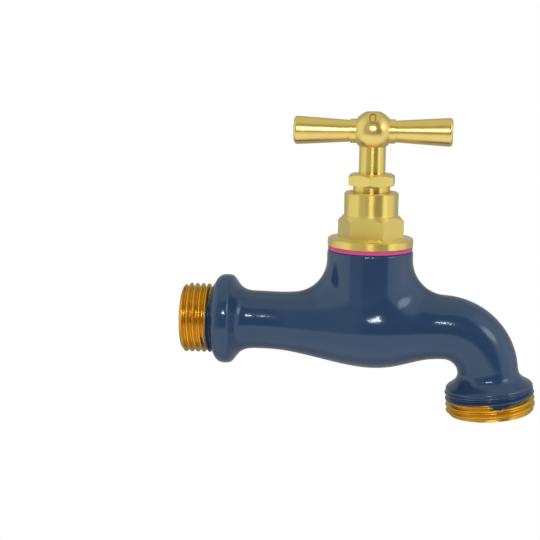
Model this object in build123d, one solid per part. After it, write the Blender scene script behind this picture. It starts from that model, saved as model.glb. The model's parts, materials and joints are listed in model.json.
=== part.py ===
from build123d import *
import os
from math import cos, radians, sin, sqrt, tan

# Wall-mounted bib tap with a hose-thread outlet, in millimetres.
# Origin: inlet axis at the back face of the collar, where the tap meets its wall fitting.
# +X runs from the wall to the spout, +Z is up along the spindle.

# Inlet end: G1/2 thread, collar and neck
inlet_thread_diameter = 20.955
inlet_thread_length = 9.7
inlet_bore_diameter = 13.0
thread_end_chamfer = 0.9
collar_diameter = 27.3
collar_width = 5.1
collar_taper = 0.25
collar_back_round = 2.9
collar_front_round = 1.0
collar_cone_length = 1.9
collar_cone_drop = 2.6
neck_flare_length = 5.2
neck_wall = 2.25

# Belly and barrel
headwork_reach = 46.3
barrel_diameter = 25.5
barrel_wall = 2.7
barrel_top = 22.45
barrel_blend_radius = 10.5
barrel_edge_round = 0.4
belly_margin = 0.15
belly_fullness = 1.2
belly_offset = 2.0
belly_sag = 0.4

# Spout: bend, flared skirt and G3/4 hose thread
spout_run = 21.95
bend_radius = 13.9
spout_sag = 0.35
spout_bore_diameter = 12.8
spout_start_wall = 3.2
spout_end_wall = 2.55
outlet_tilt = 5.8
skirt_height = 4.8
skirt_lip_height = 0.5
skirt_lip_step = 0.1
outlet_thread_diameter = 26.441
outlet_thread_length = 7.4
outlet_relief_width = 0.5
outlet_relief_depth = 0.6
outlet_bore_diameter = 19.0

# Waterway and valve seat
chamber_floor = 0.0
seat_height = 1.0
seat_bore_diameter = 11.0
seat_lip_width = 1.2
bridge_thickness = 2.4
passage_height = 7.6
passage_taper = 0.84
well_rounding = 0.85
passage_width = 13.0
passage_dip_length = 17.0
chamber_port_height = 9.2
chamber_port_width = 9.6
chamber_port_lift = 5.0
chamber_port_depth = 1.5

# Valve on the seat
valve_lift = 6.0
washer_overhang = 0.8
valve_washer_thickness = 3.0
plate_overhang = 0.5
valve_plate_thickness = 2.5
chamber_margin = 1.0
valve_stem_diameter = 5.8
valve_stem_length = 8.5
valve_stud_diameter = 4.0
washer_plate_diameter = 8.4
washer_plate_thickness = 0.8
washer_nut_across_flats = 7.0
washer_nut_height = 3.0
stud_end_length = 0.7

# Headwork: gasket, bonnet, packing and gland
gasket_thickness = 1.0
gasket_setback = 0.25
flange_setback = 0.1
bonnet_flange_thickness = 2.5
bonnet_flange_rise = 0.5
flange_edge_chamfer = 0.3
bonnet_hex_step = 0.5
bonnet_hex_height = 6.4
bonnet_hex_turn = -6.0
bonnet_neck_wall = 2.5
bonnet_neck_height = 6.7
bonnet_rim_chamfer = 0.4
gland_entry_chamfer = 1.3
gland_thread_diameter = 10.9
gland_engagement = 2.2
packing_web_thickness = 2.2
packing_washer_thickness = 0.8
packing_ring_height = 1.85
packing_ring_count = 2
gland_ring_thickness = 1.2
gland_hex_across_flats = 13.0
gland_hex_height = 3.5
gland_hex_gap = 1.9
gland_hex_turn = -3.4
hex_half_step = 30
gland_crown_step = 0.6
hex_chamfer_angle = 30.0

# Spindle and handle
spindle_thread_diameter = 11.8
spindle_thread_length = 10.0
spindle_shank_diameter = 10.0
spindle_neck_diameter = 7.8
handle_gap = 7.85
ball_diameter = 12.0
ball_foot_cut = 1.5
ball_crown_cut = 0.3
ball_cheek_cut = 1.15
arm_ring_diameter = 7.1
arm_ring_width = 1.7
arm_root_diameter = 6.35
arm_end_diameter = 8.45
arm_end_round = 1.0
handle_span = 46.2
tenon_width = 3.6
rivet_depth = 1.5
rivet_spread = 0.8
notch_length = 3.0
notch_width = 1.6
notch_depth = 0.35
notch_elevation = 44.0

# Fits, and the length by which a cut runs past its face
running_clearance = 0.08
screwed_clearance = 0.05
thrust_clearance = 0.05
soft_clearance = 0.05
lift_clearance = 0.5
stem_end_clearance = 0.5
cut_over = 1.0

# Diameters that follow from their walls and neighbours
neck_diameter = inlet_bore_diameter + 2 * neck_wall
belly_diameter = barrel_diameter + 2 * belly_margin
belly_width = belly_diameter + 2 * belly_fullness
spout_start_diameter = spout_bore_diameter + 2 * spout_start_wall
spout_end_diameter = spout_bore_diameter + 2 * spout_end_wall
skirt_lip_diameter = outlet_thread_diameter - 2 * skirt_lip_step
seat_lip_diameter = seat_bore_diameter + 2 * seat_lip_width
valve_washer_diameter = seat_lip_diameter + 2 * washer_overhang
valve_plate_diameter = valve_washer_diameter + 2 * plate_overhang
chamber_diameter = valve_plate_diameter + 2 * chamber_margin
bonnet_socket_diameter = barrel_diameter - 2 * barrel_wall
bonnet_thread_diameter = bonnet_socket_diameter - 2 * screwed_clearance
bonnet_flange_diameter = barrel_diameter - 2 * flange_setback
gasket_diameter = barrel_diameter - 2 * gasket_setback
packing_bore_diameter = gland_thread_diameter + 2 * screwed_clearance
bonnet_neck_diameter = packing_bore_diameter + 2 * bonnet_neck_wall
bonnet_hex_across_flats = bonnet_neck_diameter + 2 * bonnet_hex_step
neck_hole_diameter = spindle_neck_diameter + 2 * running_clearance
stud_hole_diameter = valve_stud_diameter + 2 * screwed_clearance

# Heights up the headwork axis: seat and valve
seat_face = chamber_floor + seat_height
washer_plate_bottom = seat_face - washer_plate_thickness
nut_bottom = washer_plate_bottom - washer_nut_height
plate_bottom = seat_face + valve_washer_thickness
plate_top = plate_bottom + valve_plate_thickness
stem_top = plate_top + valve_stem_length
spigot_bottom = plate_top + valve_lift + lift_clearance
passage_centre = chamber_floor - bridge_thickness - passage_height / 2

# Heights up the headwork axis: bonnet, packing, spindle and handle
flange_bottom = barrel_top + gasket_thickness
flange_top = flange_bottom + bonnet_flange_thickness
hex_bottom = flange_top + bonnet_flange_rise
hex_top = hex_bottom + bonnet_hex_height
bonnet_top = hex_top + bonnet_neck_height
gland_foot = bonnet_top - gland_engagement
packing_top = gland_foot - gland_ring_thickness
packing_bottom = packing_top - packing_ring_count * packing_ring_height
packing_floor = packing_bottom - packing_washer_thickness
web_bottom = packing_floor - packing_web_thickness
thread_top = web_bottom - valve_lift - lift_clearance
thread_bottom = thread_top - spindle_thread_length
spindle_foot = plate_top + thrust_clearance
gland_hex_bottom = bonnet_top + gland_hex_gap
gland_top = gland_hex_bottom + gland_hex_height
ball_bottom = gland_top + handle_gap
handle_height = ball_bottom + ball_diameter / 2 - ball_foot_cut
ball_top = handle_height + ball_diameter / 2 - ball_crown_cut

# Places along the run
headwork = Pos(headwork_reach, 0, 0)
collar_cone_end = collar_width + collar_cone_length
neck_start = collar_cone_end + neck_flare_length
belly_reach = headwork_reach + belly_offset
bend_start_reach = headwork_reach + spout_run
bend_turn = 90.0 - outlet_tilt
outlet_length = skirt_height + skirt_lip_height + outlet_thread_length


def rod(diameter, bottom, top):
    return Pos(0, 0, bottom) * Cylinder(
        diameter / 2, top - bottom, align=(Align.CENTER, Align.CENTER, Align.MIN)
    )


def tube(outer_diameter, inner_diameter, bottom, top):
    return rod(outer_diameter, bottom, top) - rod(inner_diameter, bottom, top)


def turned(*points):
    # A solid turned about Z from (radius, height) points.
    outline = make_face(Polyline(*points, close=True))
    return revolve(Plane.XZ * outline, Axis.Z)


def hexagon(across_flats, bottom, top, turn):
    sketch = RegularPolygon(across_flats / 2, 6, major_radius=False, rotation=turn)
    return Pos(0, 0, bottom) * extrude(sketch, top - bottom)


def across_run(x, z, radius_y, radius_z=None, lean=0.0):
    # A section square to the run, leaning down with the bend.
    heading = (cos(radians(lean)), 0, -sin(radians(lean)))
    plane = Plane(origin=(x, 0, z), x_dir=(0, 1, 0), z_dir=heading)
    if radius_z is None or radius_z == radius_y:
        return plane * Circle(radius_y)
    return plane * Ellipse(radius_y, radius_z)


def bend_point(turn):
    x = bend_start_reach + bend_radius * sin(radians(turn))
    z = -spout_sag - bend_radius * (1 - cos(radians(turn)))
    return x, z


def bend(start_diameter, end_diameter):
    # The spout's bend, round in section, from one diameter to the other.
    start, middle, end = (bend_point(share * bend_turn) for share in (0, 0.5, 1))
    path = ThreePointArc(*((x, 0, z) for x, z in (start, middle, end)))
    mouths = [
        across_run(*start, start_diameter / 2),
        across_run(*end, end_diameter / 2, lean=bend_turn),
    ]
    return sweep(mouths, path=path, multisection=True)


def outlet_frame():
    # At the outlet's end face, +Z up the outlet's own axis.
    x, z = bend_point(bend_turn)
    down_x = cos(radians(bend_turn))
    down_z = -sin(radians(bend_turn))
    origin = (x + outlet_length * down_x, 0, z + outlet_length * down_z)
    return Plane(origin=origin, x_dir=(-down_z, 0, down_x), z_dir=(-down_x, 0, -down_z))


def inlet_end():
    # Thread blank, collar and the flare that runs out into the neck.
    thread_radius = inlet_thread_diameter / 2
    back = (0, collar_diameter / 2)
    cone_start = (collar_width, collar_diameter / 2 - collar_taper)
    cone_end = (collar_cone_end, cone_start[1] - collar_cone_drop)
    flare_end = (neck_start, neck_diameter / 2)
    rim = Polyline((0, 0), back, cone_start, cone_end)
    cone_slope = (collar_cone_length, -collar_cone_drop)
    flare = Spline(cone_end, flare_end, tangents=(cone_slope, (1, 0)))
    closing = Polyline(flare_end, (neck_start, 0), (0, 0))
    outline = make_face([rim, flare, closing])
    outline = fillet(outline.vertices().sort_by_distance(back)[0], collar_back_round)
    outline = fillet(outline.vertices().sort_by_distance(cone_start)[0], collar_front_round)
    thread = turned(
        (0, -collar_width),
        (thread_radius, -collar_width),
        (thread_radius, inlet_thread_length - thread_end_chamfer),
        (thread_radius - thread_end_chamfer, inlet_thread_length),
        (0, inlet_thread_length),
    )
    return revolve(outline, Axis.X) + Rot(0, -90, 0) * thread


def neck_and_belly():
    # One smooth skin through round sections. Each step gives its share of the way to the
    # belly's fullest place, of the sag there and of the swelling, which is wider than it is tall.
    neck = neck_diameter / 2
    spout = spout_start_diameter / 2
    tall = belly_diameter / 2
    wide = belly_width / 2
    rising = ((0, 0, 0), (0.07, 0, 0), (0.27, 0.6, 0.05), (0.5, 1.2, 0.35), (0.75, 1.2, 0.78), (1, 1, 1))
    falling = ((0.45, 1.0, 0.58), (0.8, 0.9, 0.08), (1, 0, 0))
    sections = [
        across_run(
            neck_start + way * (belly_reach - neck_start),
            -sag * belly_sag,
            neck + swell * (wide - neck),
            neck + swell * (tall - neck),
        )
        for way, sag, swell in rising
    ]
    sections += [
        across_run(
            belly_reach + way * (bend_start_reach - belly_reach),
            -sag * belly_sag if way < 1 else -spout_sag,
            spout + swell * (wide - spout),
            spout + swell * (tall - spout),
        )
        for way, sag, swell in falling
    ]
    return loft(sections)


def outlet_end():
    # Flared skirt with its lip, a thread relief and the thread blank.
    lip_top = outlet_thread_length + skirt_lip_height
    lip_radius = skirt_lip_diameter / 2
    thread_radius = outlet_thread_diameter / 2
    relief_radius = thread_radius - outlet_relief_depth
    relief_top = outlet_thread_length + outlet_relief_width / 2
    relief_bottom = outlet_thread_length - outlet_relief_width / 2
    top = (spout_end_diameter / 2, outlet_length)
    lip = (lip_radius, lip_top)
    lip_slope = (4, -3)
    flare = Spline(top, lip, tangents=((0, -1), lip_slope))
    edge = Polyline(
        lip,
        (lip_radius, relief_top),
        (relief_radius, relief_top),
        (relief_radius, relief_bottom),
        (thread_radius, relief_bottom),
        (thread_radius, thread_end_chamfer),
        (thread_radius - thread_end_chamfer, 0),
        (0, 0),
        (0, outlet_length),
        top,
    )
    return outlet_frame() * revolve(Plane.XZ * make_face([flare, edge]), Axis.Z)


def inlet_passage():
    # Straight bore, then a core that dips under the seat's bridge to a rounded well.
    bore = inlet_bore_diameter / 2
    half_width = passage_width / 2
    half_height = passage_height / 2
    dip_end = headwork_reach - chamber_diameter / 2
    dip_start = dip_end - passage_dip_length
    straight = Rot(0, 90, 0) * rod(inlet_bore_diameter, -inlet_thread_length - cut_over, dip_start)
    halfway = across_run(
        (dip_start + dip_end) / 2, passage_centre / 2, (bore + half_width) / 2, (bore + half_height) / 2
    )
    dip = loft([
        across_run(dip_start, 0, bore),
        halfway,
        across_run(dip_end, passage_centre, half_width, half_height),
        across_run(headwork_reach, passage_centre, passage_taper * half_width, passage_taper * half_height),
    ])
    well = rod(passage_width, passage_centre - half_height, passage_centre + half_height)
    well = fillet(well.edges().filter_by(GeomType.CIRCLE), well_rounding * half_height)
    orifice = rod(seat_bore_diameter, passage_centre, seat_face + cut_over)
    return straight + dip + headwork * well + headwork * orifice


def valve_chamber():
    # Chamber over the seat, with the raised seat lip left standing, and the bonnet's socket above.
    chamber = rod(chamber_diameter, chamber_floor, spigot_bottom)
    chamber -= rod(seat_lip_diameter, chamber_floor - cut_over, seat_face)
    socket = rod(bonnet_socket_diameter, spigot_bottom, barrel_top + cut_over)
    return headwork * (chamber + socket)


def spout_passage():
    # From a port in the chamber's side down to the bend, and out through the flared mouth.
    bore = spout_bore_diameter / 2
    port_reach = headwork_reach + chamber_diameter / 2 - chamber_port_depth
    port_centre = chamber_floor + chamber_port_lift
    duct = loft([
        across_run(port_reach, port_centre, chamber_port_width / 2, chamber_port_height / 2),
        across_run(bend_start_reach, -spout_sag, bore),
    ])
    mouth = turned(
        (0, -cut_over),
        (outlet_bore_diameter / 2, -cut_over),
        (outlet_bore_diameter / 2, outlet_thread_length),
        (bore, outlet_length),
        (0, outlet_length),
    )
    return duct + bend(spout_bore_diameter, spout_bore_diameter) + outlet_frame() * mouth


def make_body():
    run = neck_and_belly()
    barrel = headwork * rod(barrel_diameter, 0, barrel_top)
    outside = run + barrel
    outside = fillet(new_edges(run, barrel, combined=outside), barrel_blend_radius)
    top_edge = outside.edges().filter_by(GeomType.CIRCLE).sort_by(Axis.Z)[-1]
    outside = fillet(top_edge, barrel_edge_round)
    outside += inlet_end() + bend(spout_start_diameter, spout_end_diameter) + outlet_end()
    return outside - inlet_passage() - valve_chamber() - spout_passage()


def make_bonnet_gasket():
    return headwork * tube(gasket_diameter, bonnet_socket_diameter, barrel_top, flange_bottom)


def make_bonnet():
    # Turned from hexagon bar: screwed spigot, flange, spanner hexagon and neck.
    flange_radius = bonnet_flange_diameter / 2
    neck_radius = bonnet_neck_diameter / 2
    packing_radius = packing_bore_diameter / 2
    corner = bonnet_hex_across_flats / sqrt(3)
    flange = turned(
        (0, flange_bottom),
        (flange_radius - flange_edge_chamfer, flange_bottom),
        (flange_radius, flange_bottom + flange_edge_chamfer),
        (flange_radius, flange_top - flange_edge_chamfer),
        (flange_radius - flange_edge_chamfer, flange_top),
        (neck_radius, hex_bottom),
        (0, hex_bottom),
    )
    chamfer = turned(
        (0, flange_bottom),
        (corner, flange_bottom),
        (corner, hex_top - corner + neck_radius),
        (neck_radius, hex_top),
        (0, hex_top),
    )
    bar = hexagon(bonnet_hex_across_flats, flange_bottom, hex_top, bonnet_hex_turn) & chamfer
    neck = turned(
        (0, flange_bottom),
        (neck_radius, flange_bottom),
        (neck_radius, bonnet_top - bonnet_rim_chamfer),
        (neck_radius - bonnet_rim_chamfer, bonnet_top),
        (0, bonnet_top),
    )
    spigot = rod(bonnet_thread_diameter, spigot_bottom, flange_bottom)
    spindle_thread = rod(spindle_thread_diameter + 2 * running_clearance, spigot_bottom, web_bottom)
    neck_hole = rod(neck_hole_diameter, web_bottom, packing_floor)
    packing_chamber = turned(
        (0, packing_floor),
        (packing_radius, packing_floor),
        (packing_radius, bonnet_top - gland_entry_chamfer),
        (packing_radius + gland_entry_chamfer, bonnet_top),
        (0, bonnet_top),
    )
    return headwork * (spigot + flange + bar + neck - spindle_thread - neck_hole - packing_chamber)


def packing_stack_ring(clearance, bottom, top):
    # A ring round the spindle's neck that fills the packing chamber.
    inner = spindle_neck_diameter + 2 * clearance
    return headwork * tube(gland_thread_diameter, inner, bottom, top)


def make_stem_packing():
    bottoms = [packing_bottom + n * packing_ring_height for n in range(packing_ring_count)]
    rings = [packing_stack_ring(soft_clearance, low, low + packing_ring_height) for low in bottoms]
    return Compound(children=rings)


def make_gland_screw():
    # Hollow screw with a hexagon head, chamfered above and below as turned from bar.
    corner = gland_hex_across_flats / sqrt(3)
    crown = gland_hex_across_flats / 2 - gland_crown_step
    drop = (corner - crown) * tan(radians(hex_chamfer_angle))
    chamfer = turned(
        (0, gland_hex_bottom),
        (crown + gland_crown_step, gland_hex_bottom),
        (corner, gland_hex_bottom + drop / 2),
        (corner, gland_top - drop),
        (crown, gland_top),
        (0, gland_top),
    )
    turn = gland_hex_turn + hex_half_step
    head = hexagon(gland_hex_across_flats, gland_hex_bottom, gland_top, turn) & chamfer
    shank = rod(gland_thread_diameter, gland_foot, gland_hex_bottom)
    return headwork * (head + shank - rod(neck_hole_diameter, gland_foot, gland_top))


def tenon(clearance):
    # Square tenon through the handle's ball, spread to a round rivet at the crown.
    side = tenon_width + 2 * clearance
    rivet_bottom = ball_top - rivet_depth
    square = Pos(0, 0, ball_bottom) * extrude(Rectangle(side, side), rivet_bottom - ball_bottom)
    rivet = turned(
        (0, rivet_bottom),
        (side / 2, rivet_bottom),
        (side / 2 + rivet_spread, ball_top),
        (0, ball_top),
    )
    return square + rivet


def ball():
    sphere = Pos(0, 0, handle_height) * Sphere(ball_diameter / 2)
    return sphere & rod(ball_diameter + cut_over, ball_bottom, ball_top)


def make_spindle():
    # Shank over the valve stem, thread, neck and riveted tenon.
    shank = rod(spindle_shank_diameter, spindle_foot, thread_bottom)
    thread = rod(spindle_thread_diameter, thread_bottom, thread_top)
    neck = rod(spindle_neck_diameter, thread_top, ball_bottom)
    stem_hole = rod(
        valve_stem_diameter + 2 * running_clearance, spindle_foot, stem_top + stem_end_clearance
    )
    return headwork * (shank + thread + neck + (tenon(0) & ball()) - stem_hole)


def arm():
    # One arm along +X: a ring against the ball's flat, then a taper that widens to a round end.
    ring_end = ball_diameter / 2 - ball_cheek_cut + arm_ring_width
    ring_radius = arm_ring_diameter / 2
    tip = (handle_span / 2, arm_end_diameter / 2)
    outline = make_face(
        Polyline(
            (0, 0),
            (0, ring_radius),
            (ring_end, ring_radius),
            (ring_end, arm_root_diameter / 2),
            tip,
            (handle_span / 2, 0),
            close=True,
        )
    )
    outline = fillet(outline.vertices().sort_by_distance(tip)[0], arm_end_round)
    return Pos(0, 0, handle_height) * revolve(outline, Axis.X)


def make_handle():
    # One forging: the ball with its cheeks cut flat, two arms and a shallow notch at the crown.
    cheek_width = ball_diameter - 2 * ball_cheek_cut
    cheeks = Pos(0, 0, handle_height) * Box(cheek_width, 2 * ball_diameter, 2 * ball_diameter)
    forging = (ball() & cheeks) + arm() + Rot(0, 0, 180) * arm()
    slot = SlotOverall(notch_length, notch_width, rotation=90)
    notch = extrude(Pos(0, 0, ball_diameter / 2 - notch_depth) * slot, ball_diameter)
    notch = Pos(0, 0, handle_height) * (Rot(90 - notch_elevation, 0, 0) * notch)
    return headwork * (forging - notch - tenon(screwed_clearance))


def make_valve_disc():
    # Jumper: plate, stem up into the spindle and stud down through the rubber.
    plate = rod(valve_plate_diameter, plate_bottom, plate_top)
    stem = rod(valve_stem_diameter, plate_top, stem_top)
    stud = rod(valve_stud_diameter, nut_bottom - stud_end_length, plate_bottom)
    return headwork * (plate + stem + stud)


def make_valve_washer():
    return headwork * tube(valve_washer_diameter, stud_hole_diameter, seat_face, plate_bottom)


def make_washer_plate():
    return headwork * tube(washer_plate_diameter, stud_hole_diameter, washer_plate_bottom, seat_face)


def make_washer_nut():
    nut = hexagon(washer_nut_across_flats, nut_bottom, washer_plate_bottom, 0)
    return headwork * (nut - rod(stud_hole_diameter, nut_bottom, washer_plate_bottom))


parts = {
    "body": make_body(),
    "bonnet_gasket": make_bonnet_gasket(),
    "bonnet": make_bonnet(),
    "packing_washer": packing_stack_ring(running_clearance, packing_floor, packing_bottom),
    "stem_packing": make_stem_packing(),
    "gland_ring": packing_stack_ring(running_clearance, packing_top, gland_foot),
    "gland_screw": make_gland_screw(),
    "spindle": make_spindle(),
    "handle": make_handle(),
    "valve_disc": make_valve_disc(),
    "valve_washer": make_valve_washer(),
    "washer_plate": make_washer_plate(),
    "washer_nut": make_washer_nut(),
}

os.makedirs("parts", exist_ok=True)
for name, solid in parts.items():
    export_step(solid, f"parts/{name}.step")
    print(name, round(solid.volume, 1), "mm3")
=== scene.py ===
import json
import math

import bmesh
import bpy
from mathutils import Matrix, Vector


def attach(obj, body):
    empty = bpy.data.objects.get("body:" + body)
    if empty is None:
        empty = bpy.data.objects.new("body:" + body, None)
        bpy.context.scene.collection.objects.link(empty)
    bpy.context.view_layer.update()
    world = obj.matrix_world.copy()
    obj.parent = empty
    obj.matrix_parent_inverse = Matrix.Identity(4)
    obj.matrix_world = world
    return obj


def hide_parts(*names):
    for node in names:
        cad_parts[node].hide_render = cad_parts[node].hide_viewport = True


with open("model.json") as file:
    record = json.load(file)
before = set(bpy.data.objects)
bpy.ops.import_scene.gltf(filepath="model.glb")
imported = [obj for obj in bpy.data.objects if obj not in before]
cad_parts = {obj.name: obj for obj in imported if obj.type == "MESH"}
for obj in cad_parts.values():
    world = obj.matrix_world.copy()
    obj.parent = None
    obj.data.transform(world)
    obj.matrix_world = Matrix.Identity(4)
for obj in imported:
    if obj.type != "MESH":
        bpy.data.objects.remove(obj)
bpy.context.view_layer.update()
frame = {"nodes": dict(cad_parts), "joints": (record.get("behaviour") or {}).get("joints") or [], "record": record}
mm = 0.001
print("frame loaded with", len(frame["nodes"]), "CAD pieces")


def linear(hexColour):    # sRGB hex to the linear colour a socket takes
    values = [int(hexColour[i:i + 2], 16) / 255 for i in (1, 3, 5)]
    return [v / 12.92 if v <= 0.04045 else ((v + 0.055) / 1.055) ** 2.4 for v in values] + [1]


def perSize(millimetres):    # texture scale whose features are that large
    return 1 / (millimetres * mm)


def addNode(tree, kind, settings=None, inputs=None):
    node = tree.nodes.new("ShaderNode" + kind)
    for name, value in (settings or {}).items():
        setattr(node, name, value)
    for socket, value in (inputs or {}).items():
        if isinstance(value, bpy.types.NodeSocket):
            tree.links.new(value, node.inputs[socket])
        else:
            node.inputs[socket].default_value = value
    return node


def emptyMaterial(name):
    material = bpy.data.materials.new(name)
    material.use_nodes = True
    material.node_tree.nodes.clear()
    return material, material.node_tree


def closeMaterial(tree, shader):
    addNode(tree, "OutputMaterial", {}, {"Surface": shader})


mounts = {mount["name"]: mount for mount in frame["record"]["mounts"]}
hinge = next(joint for joint in frame["joints"] if joint["type"] == "hinge")
headworkAxis = Vector(hinge["pos_m"])
print("headwork axis at", [round(v, 4) for v in headworkAxis])

# Camera at the photograph's viewing angle, angles in degrees, place in mm.
photoView = {
    "azimuth": 6.777, "elevation": 9.771, "roll": 0.589,
    "lens": 80.97, "sensor": 36, "nearest": 10, "place": (58.885, -357.286, 77.214),
}


def makeCamera(size):
    turn, rise, roll = (math.radians(size[key]) for key in ("azimuth", "elevation", "roll"))
    back = Vector((math.sin(turn) * math.cos(rise), -math.cos(turn) * math.cos(rise), math.sin(rise)))
    right = Vector((math.cos(turn), math.sin(turn), 0))
    up = back.cross(right)
    rolledRight = math.cos(roll) * right + math.sin(roll) * up
    rolledUp = math.cos(roll) * up - math.sin(roll) * right
    data = bpy.data.cameras.new("photoCamera")
    data.lens = size["lens"]
    data.sensor_width = size["sensor"]
    data.clip_start = size["nearest"] * mm
    camera = bpy.data.objects.new("photoCamera", data)
    camera.matrix_world = Matrix.Translation(Vector(size["place"]) * mm) @ Matrix(
        (rolledRight, rolledUp, back)
    ).transposed().to_4x4()
    bpy.context.scene.collection.objects.link(camera)
    bpy.context.scene.camera = camera


makeCamera(photoView)
print("camera set")

# Body: the cast body's own skin, with real screw threads wound on at both ends.
pipeThread = {
    "pitch": 1.8143,
    "depth": 1.162,
    "steps": 72,    # round one turn
    "form": ((0, 0), (0.07, 0.04), (0.14, 0.15), (0.36, 0.85), (0.43, 0.96)),    # share of pitch, of depth
    "spareTurns": 3,    # cut off again at both ends
    "weld": 0.002,
}
# mm and degrees; major and bore are radii, reach is from the mount's place to the free end
inletThread = {"major": 10.4775, "length": 9.7, "reach": 9.7, "chamfer": 0.9, "bore": 6.5, "phase": -47}
outletThread = {"major": 13.2205, "length": 7.15, "reach": 4.025, "chamfer": 0.9, "bore": 9.5, "phase": 140}
threads = {"inlet_thread": inletThread, "outlet_thread": outletThread}
casting = {
    "grid": 0.4, "smoothing": 10, "pull": 0.5,    # even mesh, rounds of smoothing and how far each goes
    "stub": 3, "rimDrop": 0.2, "cutReach": 30,
    "weld": 0.0005, "rimSlack": 0.01, "loopSlack": 0.02,    # what counts as the same place, mm
    "blankEnd": 0.004, "blankInside": 0.05, "blankOutside": 0.3,    # bounds of a thread blank, mm
    "sharp": 40,    # degrees between faces that stay an edge
}


def threadSkin(size):
    # Wound up +Z from the free end at zero, then cut square at both ends.
    skin = bmesh.new()
    pitch = pipeThread["pitch"] * mm
    depth = pipeThread["depth"] * mm
    root = size["major"] * mm - depth
    rising = list(pipeThread["form"])
    profile = rising + [(0.5, 1)] + [(1 - way, share) for way, share in reversed(rising)]
    wound = pipeThread["spareTurns"] - 1    # turns below the free end
    points = [skin.verts.new((root + share * depth, 0, (way - wound) * pitch)) for way, share in profile]
    edges = [skin.edges.new(pair) for pair in zip(points, points[1:])]
    turns = math.ceil(size["length"] / pipeThread["pitch"]) + pipeThread["spareTurns"]
    bmesh.ops.spin(
        skin, geom=points + edges, cent=(0, 0, 0), axis=(0, 0, 1), dvec=(0, 0, pitch / pipeThread["steps"]),
        angle=math.tau * turns, steps=pipeThread["steps"] * turns, use_merge=False,
    )
    bmesh.ops.remove_doubles(skin, verts=skin.verts, dist=casting["weld"] * mm)
    phase = Matrix.Rotation(math.radians(size["phase"]), 3, "Z")
    bmesh.ops.rotate(skin, cent=(0, 0, 0), matrix=phase, verts=skin.verts)
    for height, low in ((0, True), (size["length"] * mm, False)):
        bmesh.ops.bisect_plane(
            skin, geom=skin.verts[:] + skin.edges[:] + skin.faces[:], dist=casting["weld"] * mm,
            plane_co=(0, 0, height), plane_no=(0, 0, 1), clear_inner=low, clear_outer=not low,
        )
    bmesh.ops.remove_doubles(skin, verts=skin.verts, dist=pipeThread["weld"] * mm)
    for vert in skin.verts:    # the lead-in chamfer turned on the free end
        limit = (size["major"] - max(0, size["chamfer"] - vert.co.z / mm)) * mm
        reach = math.hypot(vert.co.x, vert.co.y)
        if reach > limit:
            vert.co.x *= limit / reach
            vert.co.y *= limit / reach
    return skin


def endPlace(mount, size):
    # Matrix that sets a thread skin's +Z along the way in, from the free end of that mount.
    axis = Vector(mount["axis"])
    end = Vector(mount["pos_m"]) + axis * (size["reach"] * mm)
    turn = Vector((0, 0, 1)).rotation_difference(-axis).to_matrix().to_4x4()
    return Matrix.Translation(end) @ turn


def openLoop(bm, place, height):
    # Boundary edges at that height above a thread's free end.
    inverse = place.inverted()
    slack = casting["loopSlack"] * mm
    return [
        edge for edge in bm.edges
        if edge.is_boundary and all(abs((inverse @ vert.co).z - height) < slack for vert in edge.verts)
    ]


def waterwayFaces(bm, start, rim):
    # All that is reached from a bore without crossing the rim of the barrel.
    found, waiting = {start}, [start]
    while waiting:
        for edge in waiting.pop().edges:
            if all(abs(vert.co.z - rim) < casting["rimSlack"] * mm for vert in edge.verts):
                continue
            for face in edge.link_faces:
                if face not in found:
                    found.add(face)
                    waiting.append(face)
    return found


def addMesh(bm, other):
    loose = bpy.data.meshes.new("loose")
    other.to_mesh(loose)
    other.free()
    bm.from_mesh(loose)
    bpy.data.meshes.remove(loose)


def castSkin(outer, ends, barrelTop):
    # The outside as one even skin: stubs drawn out at both ends, the barrel capped, then meshed evenly,
    # smoothed as lacquer flows over a casting, and cut open again.
    for place, size in ends:
        loop = openLoop(outer, place, size["length"] * mm)
        drawn = bmesh.ops.extrude_edge_only(outer, edges=loop)["geom"]
        tip = [item for item in drawn if isinstance(item, bmesh.types.BMVert)]
        bmesh.ops.translate(outer, vec=place.to_3x3().col[2] * (-casting["stub"] * mm), verts=tip)
    bmesh.ops.holes_fill(outer, edges=[edge for edge in outer.edges if edge.is_boundary])
    bmesh.ops.recalc_face_normals(outer, faces=outer.faces)
    mesh = bpy.data.meshes.new("castSkin")
    outer.to_mesh(mesh)
    outer.free()
    solid = bpy.data.objects.new("castSkin", mesh)
    bpy.context.scene.collection.objects.link(solid)
    even = solid.modifiers.new("even", "REMESH")
    even.mode = "VOXEL"
    even.voxel_size = casting["grid"] * mm
    evenMesh = bpy.data.meshes.new_from_object(solid.evaluated_get(bpy.context.evaluated_depsgraph_get()))
    bpy.data.objects.remove(solid)
    skin = bmesh.new()
    skin.from_mesh(evenMesh)
    for _ in range(casting["smoothing"]):
        bmesh.ops.smooth_vert(
            skin, verts=skin.verts, factor=casting["pull"],
            use_axis_x=True, use_axis_y=True, use_axis_z=True,
        )
    cuts = [
        (place @ Vector((0, 0, size["length"] * mm)), place.to_3x3().col[2], True) for place, size in ends
    ]
    rim = Vector((headworkAxis.x, headworkAxis.y, barrelTop - casting["rimDrop"] * mm))
    cuts.append((rim, Vector((0, 0, 1)), False))
    for point, normal, low in cuts:
        near = [
            face for face in skin.faces
            if (face.calc_center_median() - point).length < casting["cutReach"] * mm
        ]
        bmesh.ops.bisect_plane(
            skin, geom=skin.verts[:] + skin.edges[:] + near, dist=casting["weld"] * mm,
            plane_co=point, plane_no=normal, clear_inner=low, clear_outer=not low,
        )
    return skin


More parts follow.
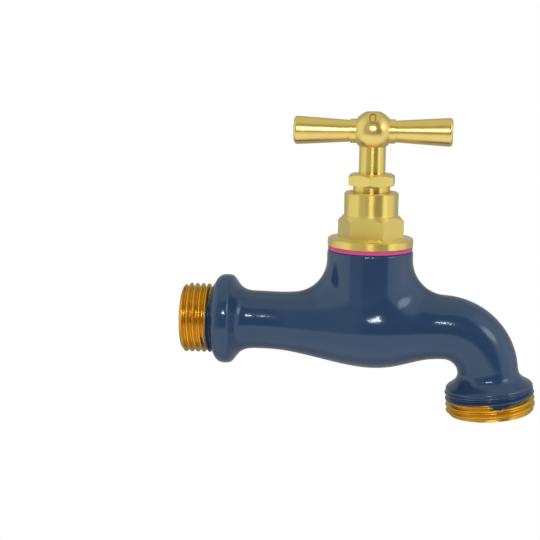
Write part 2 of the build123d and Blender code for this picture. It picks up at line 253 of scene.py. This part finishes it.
def makeBody():
    bm = bmesh.new()
    bm.from_mesh(frame["nodes"]["body"].data)
    bmesh.ops.remove_doubles(bm, verts=bm.verts, dist=casting["weld"] * mm)
    ends = [(endPlace(mounts[name], size), size) for name, size in threads.items()]
    for place, size in ends:    # the plain thread blanks give way to wound threads
        inverse = place.inverted()
        inside, outside = size["bore"] + casting["blankInside"], size["major"] + casting["blankOutside"]
        plain = []
        for face in bm.faces:
            centre = inverse @ face.calc_center_median()
            reach = math.hypot(centre.x, centre.y) / mm
            if centre.z / mm < size["length"] + casting["blankEnd"] and inside < reach < outside:
                plain.append(face)
        bmesh.ops.delete(bm, geom=plain, context="FACES")
    barrelTop = max(vert.co.z for vert in bm.verts)
    boreEnd = min(bm.verts, key=lambda vert: vert.co.x)
    waterway = waterwayFaces(bm, boreEnd.link_faces[0], barrelTop)
    for face in waterway:
        face.material_index = 1
    outer = bm.copy()
    for part, slot in ((outer, 1), (bm, 0)):    # the outside in one mesh, the waterway in the other
        away = [face for face in part.faces if face.material_index == slot]
        bmesh.ops.delete(part, geom=away, context="FACES")
    addMesh(bm, castSkin(outer, ends, barrelTop))
    for place, size in ends:
        skin = threadSkin(size)
        skin.transform(place)
        addMesh(bm, skin)
        for height in (0, size["length"] * mm):    # flat rings close both ends of the thread
            bmesh.ops.triangle_fill(
                bm, use_beauty=True, edges=openLoop(bm, place, height), normal=place.to_3x3().col[2],
            )
    rim = [edge for edge in bm.edges if edge.is_boundary]
    bmesh.ops.triangle_fill(bm, use_beauty=True, edges=rim, normal=(0, 0, 1))
    bmesh.ops.recalc_face_normals(bm, faces=bm.faces)
    print("body open edges:", sum(not edge.is_manifold for edge in bm.edges))
    mesh = bpy.data.meshes.new("castBody")
    bm.to_mesh(mesh)
    bm.free()
    mesh.shade_smooth()
    mesh.set_sharp_from_angle(angle=math.radians(casting["sharp"]))
    body = bpy.data.objects.new("castBody", mesh)
    bpy.context.scene.collection.objects.link(body)
    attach(body, "tap_body")
    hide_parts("body")
    return body


castBody = makeBody()
print("body made with", len(castBody.data.polygons), "faces")

# Lacquered cast brass: stoved slate-blue lacquer over a sand casting. It gives a smooth wet gloss with a
# faint orange peel, and stops in a ragged line on the threads, where the bare brass is cut bright.
lacquer = {
    "colour": "#304a72", "deep": "#2b4369", "gloss": 0.145, "shine": 0.66, "tint": "#e3f7ff",
    "brass": "#f2c04c", "brassDeep": "#dba138", "brassRough": 0.3,
    "inletEdge": -1.8, "inletSlope": 0.85,    # where the lacquer ends along X, further out below, mm
    "outletEdge": 3.55, "outletSlope": 0.75,    # above the outlet's end, higher on the far side, mm
    "outletStart": 86, "outletStep": 0.025,    # climbs one pitch round from that angle, then drops back
    "ragged": 0.6, "raggedSize": 1.4, "edgeWidth": 0.06, "build": 0.07,    # border, mm
    "chip": 0.9, "chipDepth": 0.25, "chipShare": (0.66, 0.72),
    "cloud": 9, "wave": 6, "waveDepth": 0.03, "peel": 0.8, "peelDepth": 0.016,    # mm
}


def lacqueredBrass(size):
    material, tree = emptyMaterial("lacqueredBrass")
    place = addNode(tree, "TexCoord").outputs["Object"]
    split = addNode(tree, "SeparateXYZ", {}, {"Vector": place})
    ragged = addNode(tree, "TexNoise", {}, {
        "Vector": place, "Scale": perSize(size["raggedSize"]), "Detail": 2.0,
    }).outputs["Fac"]
    # inlet: along X, with more lacquer on the lower side
    sloped = addNode(tree, "Math", {"operation": "MULTIPLY_ADD"}, {
        0: split.outputs["Z"], 1: -size["inletSlope"] / inletThread["major"], 2: split.outputs["X"],
    })
    along = addNode(tree, "Math", {"operation": "MULTIPLY_ADD"}, {
        0: ragged, 1: size["ragged"] * mm, 2: sloped.outputs[0],
    })
    border = (size["inletEdge"] + size["ragged"] / 2) * mm
    inletCover = addNode(tree, "MapRange", {}, {
        "Value": along.outputs[0], "From Min": border, "From Max": border + size["edgeWidth"] * mm,
    })
    # outlet: height above the free end, less the climb of the thread round its axis
    axis = Vector(mounts["outlet_thread"]["axis"])
    end = Vector(mounts["outlet_thread"]["pos_m"]) + axis * (outletThread["reach"] * mm)
    offset = addNode(tree, "VectorMath", {"operation": "SUBTRACT"}, {0: place, 1: end})
    height = addNode(tree, "VectorMath", {"operation": "DOT_PRODUCT"}, {0: offset.outputs[0], 1: -axis})
    side = addNode(tree, "VectorMath", {"operation": "DOT_PRODUCT"}, {
        0: offset.outputs[0], 1: Vector((-axis.z, 0, axis.x)),
    })
    angle = addNode(tree, "Math", {"operation": "ARCTAN2"}, {
        0: split.outputs["Y"], 1: side.outputs["Value"],
    })
    turn = addNode(tree, "Math", {"operation": "MULTIPLY_ADD"}, {
        0: angle.outputs[0], 1: 1 / math.tau, 2: size["outletStart"] / 360,
    })
    turn = addNode(tree, "Math", {"operation": "FRACT"}, {0: turn.outputs[0]})
    drop = addNode(tree, "MapRange", {}, {
        "Value": turn.outputs[0], "From Min": 1 - size["outletStep"], "From Max": 1.0,
        "To Min": 1.0, "To Max": 0.0,
    })
    turn = addNode(tree, "Math", {"operation": "MINIMUM"}, {0: turn.outputs[0], 1: drop.outputs[0]})
    climbed = addNode(tree, "Math", {"operation": "MULTIPLY_ADD"}, {
        0: turn.outputs[0], 1: -pipeThread["pitch"] * mm, 2: height.outputs["Value"],
    })
    climbed = addNode(tree, "Math", {"operation": "MULTIPLY_ADD"}, {
        0: side.outputs["Value"], 1: -size["outletSlope"] / outletThread["major"], 2: climbed.outputs[0],
    })
    climbed = addNode(tree, "Math", {"operation": "MULTIPLY_ADD"}, {
        0: ragged, 1: size["ragged"] * mm, 2: climbed.outputs[0],
    })
    border = (size["outletEdge"] + size["ragged"] / 2) * mm
    outletCover = addNode(tree, "MapRange", {}, {
        "Value": climbed.outputs[0], "From Min": border, "From Max": border + size["edgeWidth"] * mm,
    })
    cover = addNode(tree, "Math", {"operation": "MINIMUM"}, {
        0: inletCover.outputs[0], 1: outletCover.outputs[0],
    }).outputs[0]
    # specks of brass where the lacquer has chipped off the thread's crests
    across = addNode(tree, "VectorMath", {"operation": "CROSS_PRODUCT"}, {0: offset.outputs[0], 1: axis})
    reach = addNode(tree, "VectorMath", {"operation": "LENGTH"}, {0: across.outputs[0]})
    low = addNode(tree, "Math", {"operation": "LESS_THAN"}, {
        0: height.outputs["Value"], 1: outletThread["length"] * mm,
    })
    crest = addNode(tree, "MapRange", {}, {
        "Value": reach.outputs["Value"], "From Min": (outletThread["major"] - size["chipDepth"]) * mm,
        "From Max": outletThread["major"] * mm, "To Min": 0.0, "To Max": low.outputs[0],
    })
    chips = addNode(tree, "TexNoise", {}, {
        "Vector": place, "Scale": perSize(size["chip"]), "Detail": 2.0,
    }).outputs["Fac"]
    chips = addNode(tree, "MapRange", {}, {
        "Value": chips, "From Min": size["chipShare"][0], "From Max": size["chipShare"][1],
    }).outputs[0]
    chipped = addNode(tree, "Math", {"operation": "MULTIPLY"}, {0: crest.outputs[0], 1: chips})
    cover = addNode(tree, "Math", {"operation": "SUBTRACT", "use_clamp": True}, {
        0: cover, 1: chipped.outputs[0],
    }).outputs[0]
    bare = addNode(tree, "Math", {"operation": "SUBTRACT"}, {0: 1.0, 1: cover}).outputs[0]
    cloud = addNode(tree, "TexNoise", {}, {
        "Vector": place, "Scale": perSize(size["cloud"]), "Detail": 3.0,
    }).outputs["Fac"]
    paint = addNode(tree, "Mix", {"data_type": "RGBA"}, {
        0: cloud, 6: linear(size["deep"]), 7: linear(size["colour"]),
    })
    metal = addNode(tree, "Mix", {"data_type": "RGBA"}, {
        0: ragged, 6: linear(size["brassDeep"]), 7: linear(size["brass"]),
    })
    colour = addNode(tree, "Mix", {"data_type": "RGBA"}, {
        0: cover, 6: metal.outputs[2], 7: paint.outputs[2],
    })
    rough = addNode(tree, "Mix", {}, {0: cover, 2: size["brassRough"], 3: size["gloss"]})
    wave = addNode(tree, "TexNoise", {}, {
        "Vector": place, "Scale": perSize(size["wave"]), "Detail": 1.0,
    }).outputs["Fac"]
    peel = addNode(tree, "TexNoise", {}, {
        "Vector": place, "Scale": perSize(size["peel"]), "Detail": 2.0,
    }).outputs["Fac"]
    skin = addNode(tree, "Bump", {}, {
        "Height": wave, "Distance": size["waveDepth"] * mm, "Strength": cover,
    })
    skin = addNode(tree, "Bump", {}, {
        "Height": peel, "Distance": size["peelDepth"] * mm, "Strength": cover, "Normal": skin.outputs[0],
    })
    skin = addNode(tree, "Bump", {}, {
        "Height": cover, "Distance": size["build"] * mm, "Normal": skin.outputs[0],
    })
    shader = addNode(tree, "BsdfPrincipled", {}, {
        "Base Color": colour.outputs[2], "Metallic": bare, "Roughness": rough.outputs[0],
        "Specular IOR Level": size["shine"], "Specular Tint": linear(size["tint"]),
        "Normal": skin.outputs[0],
    })
    closeMaterial(tree, shader.outputs["BSDF"])
    return material


# Turned brass: free-cutting brass off the lathe, satin bright, with fine tool rings round the headwork's
# axis. The rings are drawn coarser than the real feed marks so that they show.
turned = {
    "colour": "#f7de76", "deep": "#eccb66", "rough": (0.25, 0.35), "coat": 0.8, "coatRough": 0.12,
    "drawn": 0.9, "drawnTurn": 0.25,    # how far a light is drawn out, and a quarter turn from the rings
    "cloud": 5, "feed": 0.45, "cut": 0.0035,    # mm
    # roughness of the milled flats, and the paler colour painted on them as painted light
    "milled": 0.4, "flatsPaintedLight": "#fde37f",
    "bonnetFlats": (26, 33.2), "glandFlats": (41.3, 45.1), "flatsInside": 5.5,    # heights and radius, mm
}


def turnedBrass(size):
    material, tree = emptyMaterial("turnedBrass")
    place = addNode(tree, "TexCoord").outputs["Object"]
    centred = addNode(tree, "VectorMath", {"operation": "SUBTRACT"}, {0: place, 1: headworkAxis})
    split = addNode(tree, "SeparateXYZ", {}, {"Vector": centred.outputs[0]})
    flat = addNode(tree, "VectorMath", {"operation": "MULTIPLY"}, {0: centred.outputs[0], 1: (1, 1, 0)})
    radius = addNode(tree, "VectorMath", {"operation": "LENGTH"}, {0: flat.outputs[0]})
    profile = addNode(tree, "CombineXYZ", {}, {"X": radius.outputs["Value"], "Y": split.outputs["Z"]})
    # light spreads across the tool rings, so along the axis on round parts
    circling = addNode(tree, "VectorMath", {"operation": "CROSS_PRODUCT"}, {
        0: (0, 0, 1), 1: centred.outputs[0],
    })
    tangent = addNode(tree, "VectorTransform", {"convert_from": "OBJECT", "convert_to": "WORLD"}, {
        "Vector": circling.outputs[0],
    })
    rings = addNode(tree, "TexNoise", {}, {
        "Vector": profile.outputs[0], "Scale": perSize(size["feed"]), "Detail": 2.0,
    }).outputs["Fac"]
    cloud = addNode(tree, "TexNoise", {}, {
        "Vector": place, "Scale": perSize(size["cloud"]), "Detail": 4.0,
    }).outputs["Fac"]
    colour = addNode(tree, "Mix", {"data_type": "RGBA"}, {
        0: cloud, 6: linear(size["deep"]), 7: linear(size["colour"]),
    })
    rough = addNode(tree, "Mix", {}, {0: rings, 2: size["rough"][0], 3: size["rough"][1]})
    # the spanner flats are milled, so duller than what is turned, and painted paler as painted light on them
    bands = [
        addNode(tree, "Math", {"operation": "COMPARE"}, {
            0: split.outputs["Z"], 1: (low + high) / 2 * mm, 2: (high - low) / 2 * mm,
        }) for low, high in (size["bonnetFlats"], size["glandFlats"])
    ]
    flats = addNode(tree, "Math", {"operation": "MAXIMUM"}, {
        0: bands[0].outputs[0], 1: bands[1].outputs[0],
    })
    proud = addNode(tree, "Math", {"operation": "GREATER_THAN"}, {
        0: radius.outputs["Value"], 1: size["flatsInside"] * mm,
    })
    flats = addNode(tree, "Math", {"operation": "MULTIPLY"}, {0: flats.outputs[0], 1: proud.outputs[0]})
    rough = addNode(tree, "Mix", {}, {0: flats.outputs[0], 2: rough.outputs[0], 3: size["milled"]})
    colour = addNode(tree, "Mix", {"data_type": "RGBA"}, {
        0: flats.outputs[0], 6: colour.outputs[2], 7: linear(size["flatsPaintedLight"]),
    })
    marks = addNode(tree, "Bump", {}, {"Height": rings, "Distance": size["cut"] * mm})
    shader = addNode(tree, "BsdfPrincipled", {}, {
        "Base Color": colour.outputs[2], "Roughness": rough.outputs[0], "Metallic": 1.0,
        "Anisotropic": size["drawn"], "Anisotropic Rotation": size["drawnTurn"],
        "Tangent": tangent.outputs[0], "Normal": marks.outputs[0],
        "Coat Weight": size["coat"], "Coat Roughness": size["coatRough"],
    })
    closeMaterial(tree, shader.outputs["BSDF"])
    return material


# Forged brass: hot-stamped and tumbled, a soft satin with fine grain and a few shallow dimples, and a painted
# shade round the rim of the notch in the ball.
forged = {
    "colour": "#fae085", "deep": "#efcb6e", "rough": (0.26, 0.36), "coat": 0.8, "coatRough": 0.12,
    "cloud": 4, "grain": 0.22, "grainDepth": 0.004, "dimple": 2.5, "dimpleDepth": 0.03,    # mm
    # colour of the painted shade round the rim of the notch in the ball, then the notch's size
    "notchPaintedShade": "#b39a4a", "notch": (0.8, 0.7),    # half width and straight half length, mm
    "notchRim": 0.4, "notchFront": 4, "notchTilt": 44,    # mm, mm out from the ball's middle, degrees
    "armEnd": 0.05,    # depth of the end face that is measured, mm
}


def forgedBrass(size):
    material, tree = emptyMaterial("forgedBrass")
    place = addNode(tree, "TexCoord").outputs["Object"]
    cloud, grain, dimple = (
        addNode(tree, "TexNoise", {}, {
            "Vector": place, "Scale": perSize(size[key]), "Detail": detail,
        }).outputs["Fac"] for key, detail in (("cloud", 4.0), ("grain", 3.0), ("dimple", 1.0))
    )
    colour = addNode(tree, "Mix", {"data_type": "RGBA"}, {
        0: cloud, 6: linear(size["deep"]), 7: linear(size["colour"]),
    })
    # painted shade darkening the rim of the notch in the ball, which is as high as the middle of an arm's end
    places = [vert.co for vert in frame["nodes"]["handle"].data.vertices]
    handleTip = max(co.x for co in places)
    endHeights = [co.z for co in places if co.x > handleTip - size["armEnd"] * mm]
    ball = Vector((headworkAxis.x, headworkAxis.y, (min(endHeights) + max(endHeights)) / 2))
    tilt = math.radians(size["notchTilt"])
    fromBall = addNode(tree, "VectorMath", {"operation": "SUBTRACT"}, {0: place, 1: ball}).outputs[0]
    sideways = addNode(tree, "VectorMath", {"operation": "DOT_PRODUCT"}, {0: fromBall, 1: (1, 0, 0)})
    lengthways = addNode(tree, "VectorMath", {"operation": "DOT_PRODUCT"}, {
        0: fromBall, 1: (0, math.sin(tilt), math.cos(tilt)),
    })
    outward = addNode(tree, "VectorMath", {"operation": "DOT_PRODUCT"}, {
        0: fromBall, 1: (0, -math.cos(tilt), math.sin(tilt)),
    })
    past = addNode(tree, "Math", {"operation": "ABSOLUTE"}, {0: lengthways.outputs["Value"]})
    past = addNode(tree, "Math", {"operation": "SUBTRACT"}, {0: past.outputs[0], 1: size["notch"][1] * mm})
    past = addNode(tree, "Math", {"operation": "MAXIMUM"}, {0: past.outputs[0], 1: 0.0})
    flat = addNode(tree, "CombineXYZ", {}, {"X": sideways.outputs["Value"], "Y": past.outputs[0]})
    away = addNode(tree, "VectorMath", {"operation": "LENGTH"}, {0: flat.outputs[0]})
    away = addNode(tree, "Math", {"operation": "SUBTRACT"}, {
        0: away.outputs["Value"], 1: size["notch"][0] * mm,
    })
    away = addNode(tree, "Math", {"operation": "ABSOLUTE"}, {0: away.outputs[0]})
    front = addNode(tree, "Math", {"operation": "GREATER_THAN"}, {
        0: outward.outputs["Value"], 1: size["notchFront"] * mm,
    })
    notchPaintedShade = addNode(tree, "MapRange", {"interpolation_type": "SMOOTHSTEP"}, {
        "Value": away.outputs[0], "From Min": 0.0, "From Max": size["notchRim"] * mm,
        "To Min": front.outputs[0], "To Max": 0.0,
    })
    colour = addNode(tree, "Mix", {"data_type": "RGBA"}, {
        0: notchPaintedShade.outputs[0], 6: colour.outputs[2], 7: linear(size["notchPaintedShade"]),
    })
    rough = addNode(tree, "Mix", {}, {0: grain, 2: size["rough"][0], 3: size["rough"][1]})
    skin = addNode(tree, "Bump", {}, {"Height": dimple, "Distance": size["dimpleDepth"] * mm})
    skin = addNode(tree, "Bump", {}, {
        "Height": grain, "Distance": size["grainDepth"] * mm, "Normal": skin.outputs[0],
    })
    shader = addNode(tree, "BsdfPrincipled", {}, {
        "Base Color": colour.outputs[2], "Roughness": rough.outputs[0], "Metallic": 1.0,
        "Normal": skin.outputs[0], "Coat Weight": size["coat"], "Coat Roughness": size["coatRough"],
    })
    closeMaterial(tree, shader.outputs["BSDF"])
    return material


# Vulcanised fibre: dyed pressed paper, dull, with short fibres lying round the ring.
fibre = {
    "colour": "#f05caa", "deep": "#dc4696", "rough": 0.62,
    "strand": 0.5, "lay": (1, 1, 3), "relief": 0.02,    # mm, pressed flat by the last of lay
}


def vulcanisedFibre(size):
    material, tree = emptyMaterial("vulcanisedFibre")
    place = addNode(tree, "TexCoord").outputs["Object"]
    lying = addNode(tree, "Mapping", {}, {"Vector": place, "Scale": size["lay"]})
    strand = addNode(tree, "TexNoise", {}, {
        "Vector": lying.outputs[0], "Scale": perSize(size["strand"]), "Detail": 5.0,
    }).outputs["Fac"]
    colour = addNode(tree, "Mix", {"data_type": "RGBA"}, {
        0: strand, 6: linear(size["deep"]), 7: linear(size["colour"]),
    })
    skin = addNode(tree, "Bump", {}, {"Height": strand, "Distance": size["relief"] * mm})
    shader = addNode(tree, "BsdfPrincipled", {}, {
        "Base Color": colour.outputs[2], "Roughness": size["rough"], "Normal": skin.outputs[0],
    })
    closeMaterial(tree, shader.outputs["BSDF"])
    return material


# Rubber and plaited packing, both inside and dull. Rubber is near black with a fine dusting; the packing is
# a pale greased yarn that shows its plait.
rubber = {
    "name": "nitrileRubber", "colour": "#2a2a2c", "deep": "#1c1c1e", "rough": 0.7,
    "grain": 0.4, "relief": 0.006,    # mm
}
packing = {
    "name": "greasedYarn", "colour": "#dcd8c8", "deep": "#b0a98f", "rough": 0.55,
    "grain": 0.8, "relief": 0.1,    # mm
}


def softSeal(size):
    material, tree = emptyMaterial(size["name"])
    place = addNode(tree, "TexCoord").outputs["Object"]
    weave = addNode(tree, "TexVoronoi", {}, {
        "Vector": place, "Scale": perSize(size["grain"]),
    }).outputs["Distance"]
    colour = addNode(tree, "Mix", {"data_type": "RGBA"}, {
        0: weave, 6: linear(size["colour"]), 7: linear(size["deep"]),
    })
    skin = addNode(tree, "Bump", {"invert": True}, {"Height": weave, "Distance": size["relief"] * mm})
    shader = addNode(tree, "BsdfPrincipled", {}, {
        "Base Color": colour.outputs[2], "Roughness": size["rough"], "Normal": skin.outputs[0],
    })
    closeMaterial(tree, shader.outputs["BSDF"])
    return material


turnedFinish = turnedBrass(turned)
nodeFinishes = {
    "handle": forgedBrass(forged),
    "bonnet_gasket": vulcanisedFibre(fibre),
    "stem_packing": softSeal(packing),
    "valve_washer": softSeal(rubber),
}
castBody.data.materials.append(lacqueredBrass(lacquer))
castBody.data.materials.append(turnedFinish)
for name, node in frame["nodes"].items():
    node.data.materials.clear()
    node.data.materials.append(nodeFinishes.get(name, turnedFinish))
print("finishes set")

# Studio: a pale floor well below the tap, a round tent of lit cloth that the camera looks through, dim in
# front as where a tent is open, and two lamps, above the camera and to its right. Lengths in metres.
studio = {
    "floor": -0.3, "floorSpread": 6, "floorShade": "#f2f2f2",
    "floorGlow": (0.95, 0.4), "floorFade": (-0.1, 0.1),    # in front and behind, and where along Y
    "tentTop": 1.1, "tentAway": 0.8, "tentSides": 48,
    "tint": "#f4f8f4", "backTint": "#f0f4e8", "roofTint": "#f6f6dc",
    "sideGlow": 0.95, "backGlow": 0.5, "roofGlow": 0.7,
    "openGlow": (1.1, 0.42, 0.13),    # at the hem, on the left, in the open front
    "openRise": (-0.23, -0.14), "openTurn": (-0.3, -0.08),    # heights, and places along X
    "opening": (-0.56, -0.68), "back": (0.1, 0.7),    # along Y, shares of tentAway
}
frontLamp = {"place": (0.06, -0.40, 0.19), "size": (0.16, 0.018), "power": 0.42}
sideLamp = {"place": (0.62, -0.27, 0.32), "size": (0.25, 0.25), "power": 0.4}


def stageObject(name, bm, material):
    mesh = bpy.data.meshes.new(name)
    bm.to_mesh(mesh)
    bm.free()
    mesh.materials.append(material)
    piece = bpy.data.objects.new(name, mesh)
    bpy.context.scene.collection.objects.link(piece)
    return piece


def palePaper():
    # White to the eye and in reflections, a plain paper for the light that bounces off it.
    material, tree = emptyMaterial("palePaper")
    rays = addNode(tree, "LightPath")
    seen = addNode(tree, "Math", {"operation": "MAXIMUM"}, {
        0: rays.outputs["Is Camera Ray"], 1: rays.outputs["Is Glossy Ray"],
    })
    seen = addNode(tree, "Math", {"operation": "MAXIMUM"}, {
        0: seen.outputs[0], 1: rays.outputs["Is Transmission Ray"],
    })
    paper = addNode(tree, "BsdfDiffuse", {}, {"Color": linear(studio["floorShade"])})
    axes = addNode(tree, "SeparateXYZ", {}, {0: addNode(tree, "TexCoord").outputs["Object"]})
    fading = addNode(tree, "MapRange", {"interpolation_type": "SMOOTHSTEP"}, {
        "Value": axes.outputs["Y"], "From Min": studio["floorFade"][0], "From Max": studio["floorFade"][1],
        "To Min": studio["floorGlow"][0], "To Max": studio["floorGlow"][1],
    })
    bright = addNode(tree, "Math", {"operation": "MAXIMUM"}, {
        0: fading.outputs[0], 1: rays.outputs["Is Camera Ray"],
    })
    white = addNode(tree, "Emission", {}, {"Color": (1, 1, 1, 1), "Strength": bright.outputs[0]})
    mixed = addNode(tree, "MixShader", {}, {0: seen.outputs[0], 1: paper.outputs[0], 2: white.outputs[0]})
    closeMaterial(tree, mixed.outputs[0])
    return material


def tentCloth():
    # Lit cloth all round, thicker on the roof and behind, and dim in front above the hem.
    material, tree = emptyMaterial("tentCloth")
    axes = addNode(tree, "SeparateXYZ", {}, {0: addNode(tree, "TexCoord").outputs["Object"]})
    reach = studio["tentAway"]
    across = addNode(tree, "MapRange", {"interpolation_type": "SMOOTHSTEP"}, {
        "Value": axes.outputs["X"], "From Min": studio["openTurn"][0], "From Max": studio["openTurn"][1],
        "To Min": studio["openGlow"][1], "To Max": studio["openGlow"][2],
    })
    rise = addNode(tree, "MapRange", {"interpolation_type": "SMOOTHSTEP"}, {
        "Value": axes.outputs["Z"], "From Min": studio["openRise"][0], "From Max": studio["openRise"][1],
        "To Min": studio["openGlow"][0], "To Max": across.outputs[0],
    })
    ahead = addNode(tree, "MapRange", {"interpolation_type": "SMOOTHSTEP"}, {
        "Value": axes.outputs["Y"],
        "From Min": studio["opening"][0] * reach, "From Max": studio["opening"][1] * reach,
        "To Min": studio["sideGlow"], "To Max": rise.outputs[0],
    })
    behind = addNode(tree, "MapRange", {"interpolation_type": "SMOOTHSTEP"}, {
        "Value": axes.outputs["Y"],
        "From Min": studio["back"][0] * reach, "From Max": studio["back"][1] * reach,
    })
    shade = addNode(tree, "Mix", {}, {0: behind.outputs[0], 2: ahead.outputs[0], 3: studio["backGlow"]})
    cloth = addNode(tree, "Mix", {"data_type": "RGBA"}, {
        0: behind.outputs[0], 6: linear(studio["tint"]), 7: linear(studio["backTint"]),
    })
    roof = addNode(tree, "Math", {"operation": "GREATER_THAN"}, {
        0: axes.outputs["Z"], 1: studio["tentTop"] - mm,
    })
    shade = addNode(tree, "Mix", {}, {0: roof.outputs[0], 2: shade.outputs[0], 3: studio["roofGlow"]})
    cloth = addNode(tree, "Mix", {"data_type": "RGBA"}, {
        0: roof.outputs[0], 6: cloth.outputs[2], 7: linear(studio["roofTint"]),
    })
    glow = addNode(tree, "Emission", {}, {"Color": cloth.outputs[2], "Strength": shade.outputs[0]})
    closeMaterial(tree, glow.outputs[0])
    return material


def makeFloor():
    bm = bmesh.new()
    bmesh.ops.create_grid(bm, x_segments=1, y_segments=1, size=studio["floorSpread"])
    bmesh.ops.translate(bm, vec=(0, 0, studio["floor"]), verts=bm.verts)
    stageObject("paleFloor", bm, palePaper())


def makeTent():
    bm = bmesh.new()
    bmesh.ops.create_circle(bm, cap_ends=True, segments=studio["tentSides"], radius=studio["tentAway"])
    bmesh.ops.translate(bm, vec=(headworkAxis.x, 0, studio["tentTop"]), verts=bm.verts)
    drawn = bmesh.ops.extrude_edge_only(bm, edges=bm.edges[:])["geom"]
    hem = [item for item in drawn if isinstance(item, bmesh.types.BMVert)]
    bmesh.ops.translate(bm, vec=(0, 0, studio["floor"] - studio["tentTop"]), verts=hem)
    tent = stageObject("lightTent", bm, tentCloth())
    tent.visible_camera = False


def makeLamp(name, lamp):
    data = bpy.data.lights.new(name, "AREA")
    data.shape = "ELLIPSE"
    data.size, data.size_y = lamp["size"]
    data.energy = lamp["power"]
    piece = bpy.data.objects.new(name, data)
    piece.location = lamp["place"]
    piece.rotation_mode = "QUATERNION"
    piece.rotation_quaternion = (Vector(lamp["place"]) - headworkAxis).to_track_quat("Z", "Y")
    bpy.context.scene.collection.objects.link(piece)


def makeWorld():
    world = bpy.data.worlds.new("whiteSky")
    bpy.context.scene.world = world
    world.use_nodes = True
    world.node_tree.nodes.clear()
    white = addNode(world.node_tree, "Background", {}, {"Color": (1, 1, 1, 1), "Strength": 1.0})
    addNode(world.node_tree, "OutputWorld", {}, {"Surface": white.outputs[0]})


makeFloor()
makeTent()
makeLamp("frontLamp", frontLamp)
makeLamp("sideLamp", sideLamp)
makeWorld()
bpy.context.scene.view_settings.view_transform = "Standard"
print("studio set")
